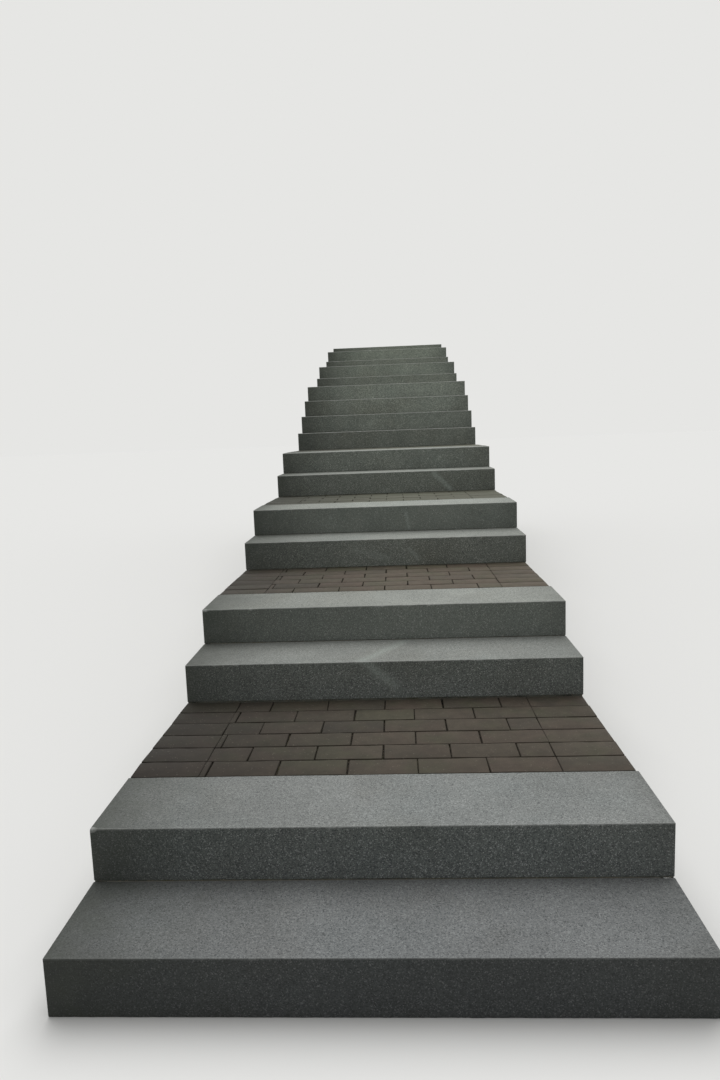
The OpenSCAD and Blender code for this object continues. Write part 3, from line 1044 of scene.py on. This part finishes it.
def pour_piece(name, props, tree, material, last):
    """One pour of the foundation, with the marks of its formwork boards on both sides, and at the
    back of the last pour.
    """
    low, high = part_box(name)
    shape = bmesh.new()
    shape.from_mesh(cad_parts[name].data)
    corners = np.array([vertex.co[:] for vertex in shape.verts])
    solid = BVHTree.FromBMesh(shape)
    shape.free()
    relief = board_face(np.random.default_rng(sum(map(ord, name)) * 3), high.z, props)

    # The mesh has a line on both sides of each seam
    board, lip = props.board, 3 * MM
    seams = np.arange(math.ceil(low.z / board), math.floor(high.z / board) + 1) * board
    marks = [z for seam in seams for z in (seam - lip, seam, seam + lip) if low.z < z < high.z]
    ys = refined(corners[:, 1], POUR_FACE[0])
    zs = refined([*corners[:, 2], *marks], POUR_FACE[1])
    # The pour is narrower at its ends, where its corners are cut off
    half = (high.x - low.x) / 2
    half_at_ends = np.abs(corners[np.abs(corners[:, 1] - high.y) < 1e-5][:, 0]).max()
    inside = np.zeros((len(ys) - 1, len(zs) - 1), dtype=bool)
    for j in range(len(ys) - 1):
        for k in range(len(zs) - 1):
            middle = Vector((0, (ys[j] + ys[j + 1]) / 2, (zs[k] + zs[k + 1]) / 2))
            inside[j, k] = solid.ray_cast(middle, Vector((1, 0, 0)))[0] is not None

    points, faces = {}, []

    def point(column, j, k):
        """The number of a point, which is made when it is first asked for."""
        key = (column, j, k)
        if key not in points:
            y, z = ys[j], zs[k]
            width = half_at_ends if j in (0, len(ys) - 1) else half
            x = width * (2 * column / POUR_COLUMNS - 1)
            if column in (0, POUR_COLUMNS) and width == half:
                x -= math.copysign(relief(y, z), x)
            # The boards at the back bow in their own way
            if last and j == len(ys) - 1:
                y -= relief(x + 5, z)
            points[key] = (len(points), (x, y, z))
        return points[key][0]

    for j, k in np.argwhere(inside):
        for column in (0, POUR_COLUMNS):
            faces.append([point(column, j, k), point(column, j + 1, k),
                          point(column, j + 1, k + 1), point(column, j, k + 1)])
            if column == 0:
                faces[-1].reverse()
        around = (((j, k), (j + 1, k), (j, k - 1)), ((j + 1, k), (j + 1, k + 1), (j + 1, k)),
                  ((j + 1, k + 1), (j, k + 1), (j, k + 1)), ((j, k + 1), (j, k), (j - 1, k)))
        for start, end, beyond in around:
            open_air = not (0 <= beyond[0] < inside.shape[0] and 0 <= beyond[1] < inside.shape[1]
                            and inside[beyond])
            for column in range(POUR_COLUMNS if open_air else 0):
                faces.append([point(column, *start), point(column, *end),
                              point(column + 1, *end), point(column + 1, *start)])
    mesh = new_mesh(name + "_cast", [place for _, place in points.values()], faces=faces)
    face_outwards(mesh)
    piece = new_object(name + "_cast", mesh, [material])
    ties = tie_places(low, high, ys, zs, inside, half, last, props.tie_pitch)
    if ties:
        drill_ties(piece, ties, props, tree, material)
    finish_piece(piece, "concrete", name)


# Stage


def seen_rays(tree):
    """1 for what the camera sees, straight or by a shine, and 0 for light that falls on a piece."""
    rays = add(tree, "ShaderNodeLightPath").outputs
    seen = rays["Is Camera Ray"]
    for kind in ("Is Glossy Ray", "Is Transmission Ray"):
        seen = add(tree, "ShaderNodeMath", {0: seen, 1: rays[kind]}, "MAXIMUM")
    return seen


def studio_floor(props):
    """A matt studio floor: pale where it is seen, while it throws back weaker light, as outdoors."""
    material, tree = new_material("studio_floor")
    colour = add(tree, "ShaderNodeMix", {
        0: seen_rays(tree), 6: linear(props.bounce), 7: linear(props.floor)}, data_type="RGBA")
    shader = add(tree, "ShaderNodeBsdfPrincipled", {
        "Base Color": colour, "Roughness": 0.9, "Specular IOR Level": 0.0})
    add(tree, "ShaderNodeOutputMaterial", {"Surface": shader})
    return material


def overcast_sky(props):
    """An even sky, whose light is weaker than the backdrop that the camera sees."""
    world = bpy.data.worlds.new("sky")
    world.use_nodes = True
    tree = world.node_tree
    tree.nodes.clear()
    light = add(tree, "ShaderNodeBackground", {"Color": linear("#ffffff"), "Strength": props.sky})
    view = add(tree, "ShaderNodeBackground", {"Color": linear(props.backdrop), "Strength": 1.0})
    both = add(tree, "ShaderNodeMixShader", {0: seen_rays(tree), 1: light, 2: view})
    add(tree, "ShaderNodeOutputWorld", {"Surface": both})
    return world


# Operators and the panel


class STEPS_OT_blocks(Operator):
    """Makes the granite blocks, with worn arrises, chips, grime and painted shade"""
    bl_idname = "steps.blocks"
    bl_label = "Granite blocks"

    def execute(self, context):
        props = context.scene.steps_granite
        materials = [
            granite("flamed_granite", props, tone=props.tread_tone, mica_share=0.12,
                    pale_share=0.30, contrast=1.0, roughness=0.82, depth=0.4 * MM),
            granite("sawn_granite", props, tone=props.riser_tone, mica_share=0.22,
                    pale_share=0.24, contrast=1.35, roughness=0.70, depth=0.3 * MM),
        ]
        for name in STEPS:
            block_piece(name, props, materials)
        return {"FINISHED"}


class STEPS_OT_landings(Operator):
    """Lays the pavers, joint sand and bed of each landing, and fills the risers' joints"""
    bl_idname = "steps.landings"
    bl_label = "Landings and joints"

    def execute(self, context):
        props = context.scene.steps_pavers
        materials = {
            "fired_clay": fired_clay(props),
            "joint_sand": joint_filling("joint_sand", props.sand),
            "joint_mortar": joint_filling("joint_mortar", props.mortar),
            "pointing_mortar": joint_filling("pointing_mortar", props.pointing),
            "bedding_mortar": bedding_mortar(context.scene.steps_foundation),
        }
        trees = {"pavers": paver_tree(), "joints": joint_tree()}
        for name in LANDINGS:
            landing_pieces(name, props, trees, materials)
        block_joint_pieces(trees["joints"], materials)
        return {"FINISHED"}


class STEPS_OT_foundation(Operator):
    """Casts the pours of the foundation, with the marks of their formwork"""
    bl_idname = "steps.foundation"
    bl_label = "Foundation"

    def execute(self, context):
        props = context.scene.steps_foundation
        material = cast_concrete(props)
        tree = tie_tree()
        for name in POURS:
            pour_piece(name, props, tree, material, last=name == POURS[-1])
        return {"FINISHED"}


class STEPS_OT_stage(Operator):
    """Sets up the photo's camera, a pale floor and soft light from above"""
    bl_idname = "steps.stage"
    bl_label = "Stage"

    def execute(self, context):
        props = context.scene.steps_stage
        scene = context.scene
        scene.view_settings.view_transform = "Standard"
        camera = new_object("camera", bpy.data.cameras.new("camera"))
        camera.data.lens = props.lens
        camera.data.clip_start, camera.data.clip_end = 0.05, 200
        eye = (STAIR_LOW.x + props.eye_right, STAIR_LOW.y - props.eye_back, props.eye_height)
        camera.matrix_world = (
            Matrix.Translation(eye) @ Matrix.Rotation(props.yaw, 4, "Z")
            @ Matrix.Rotation(math.pi / 2 + props.pitch, 4, "X")
            @ Matrix.Rotation(props.roll, 4, "Z"))
        scene.camera = camera

        # Overcast light: a broad soft source high behind the top of the stair, and an even sky
        lamp = bpy.data.lights.new("overhead", "SUN")
        lamp.energy = props.key_power
        lamp.angle = props.key_spread
        new_object("overhead", lamp).rotation_euler = (-props.key_tilt, 0, 0)
        scene.world = overcast_sky(props)

        size = 150
        mesh = new_mesh("floor", [(-size, -size, 0), (size, -size, 0), (size, size, 0),
                                  (-size, size, 0)], faces=[(0, 1, 2, 3)])
        new_object("floor", mesh, [studio_floor(props)])
        return {"FINISHED"}


class STEPS_PT_panel(Panel):
    """Lists the stair's pieces in the sidebar, with their sizes and colours"""
    bl_idname = "STEPS_PT_panel"
    bl_label = "Outdoor block steps"
    bl_space_type = "VIEW_3D"
    bl_region_type = "UI"
    bl_category = "Block steps"

    def draw(self, context):
        for label, name, _, operator in GROUPS:
            box = self.layout.box()
            box.label(text=label)
            group = getattr(context.scene, name)
            for key in group.bl_rna.properties.keys():
                if key not in ("rna_type", "name"):
                    box.prop(group, key)
            box.operator(operator.bl_idname)


# The heading in the panel, the name of the properties in the scene, their class and the operator
GROUPS = (
    ("Granite", "steps_granite", GraniteProps, STEPS_OT_blocks),
    ("Landings", "steps_pavers", PaverProps, STEPS_OT_landings),
    ("Foundation", "steps_foundation", FoundationProps, STEPS_OT_foundation),
    ("Stage", "steps_stage", StageProps, STEPS_OT_stage),
)


def register():
    for _, name, props, operator in GROUPS:
        bpy.utils.register_class(props)
        bpy.utils.register_class(operator)
        setattr(bpy.types.Scene, name, PointerProperty(type=props))
    bpy.utils.register_class(STEPS_PT_panel)


def unregister():
    bpy.utils.unregister_class(STEPS_PT_panel)
    for _, name, props, operator in GROUPS:
        delattr(bpy.types.Scene, name)
        bpy.utils.unregister_class(operator)
        bpy.utils.unregister_class(props)


def main():
    """Builds everything in order."""
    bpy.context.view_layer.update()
    register()
    bpy.ops.steps.blocks()
    bpy.ops.steps.landings()
    bpy.ops.steps.foundation()
    bpy.ops.steps.stage()


if __name__ == "__main__":
    main()
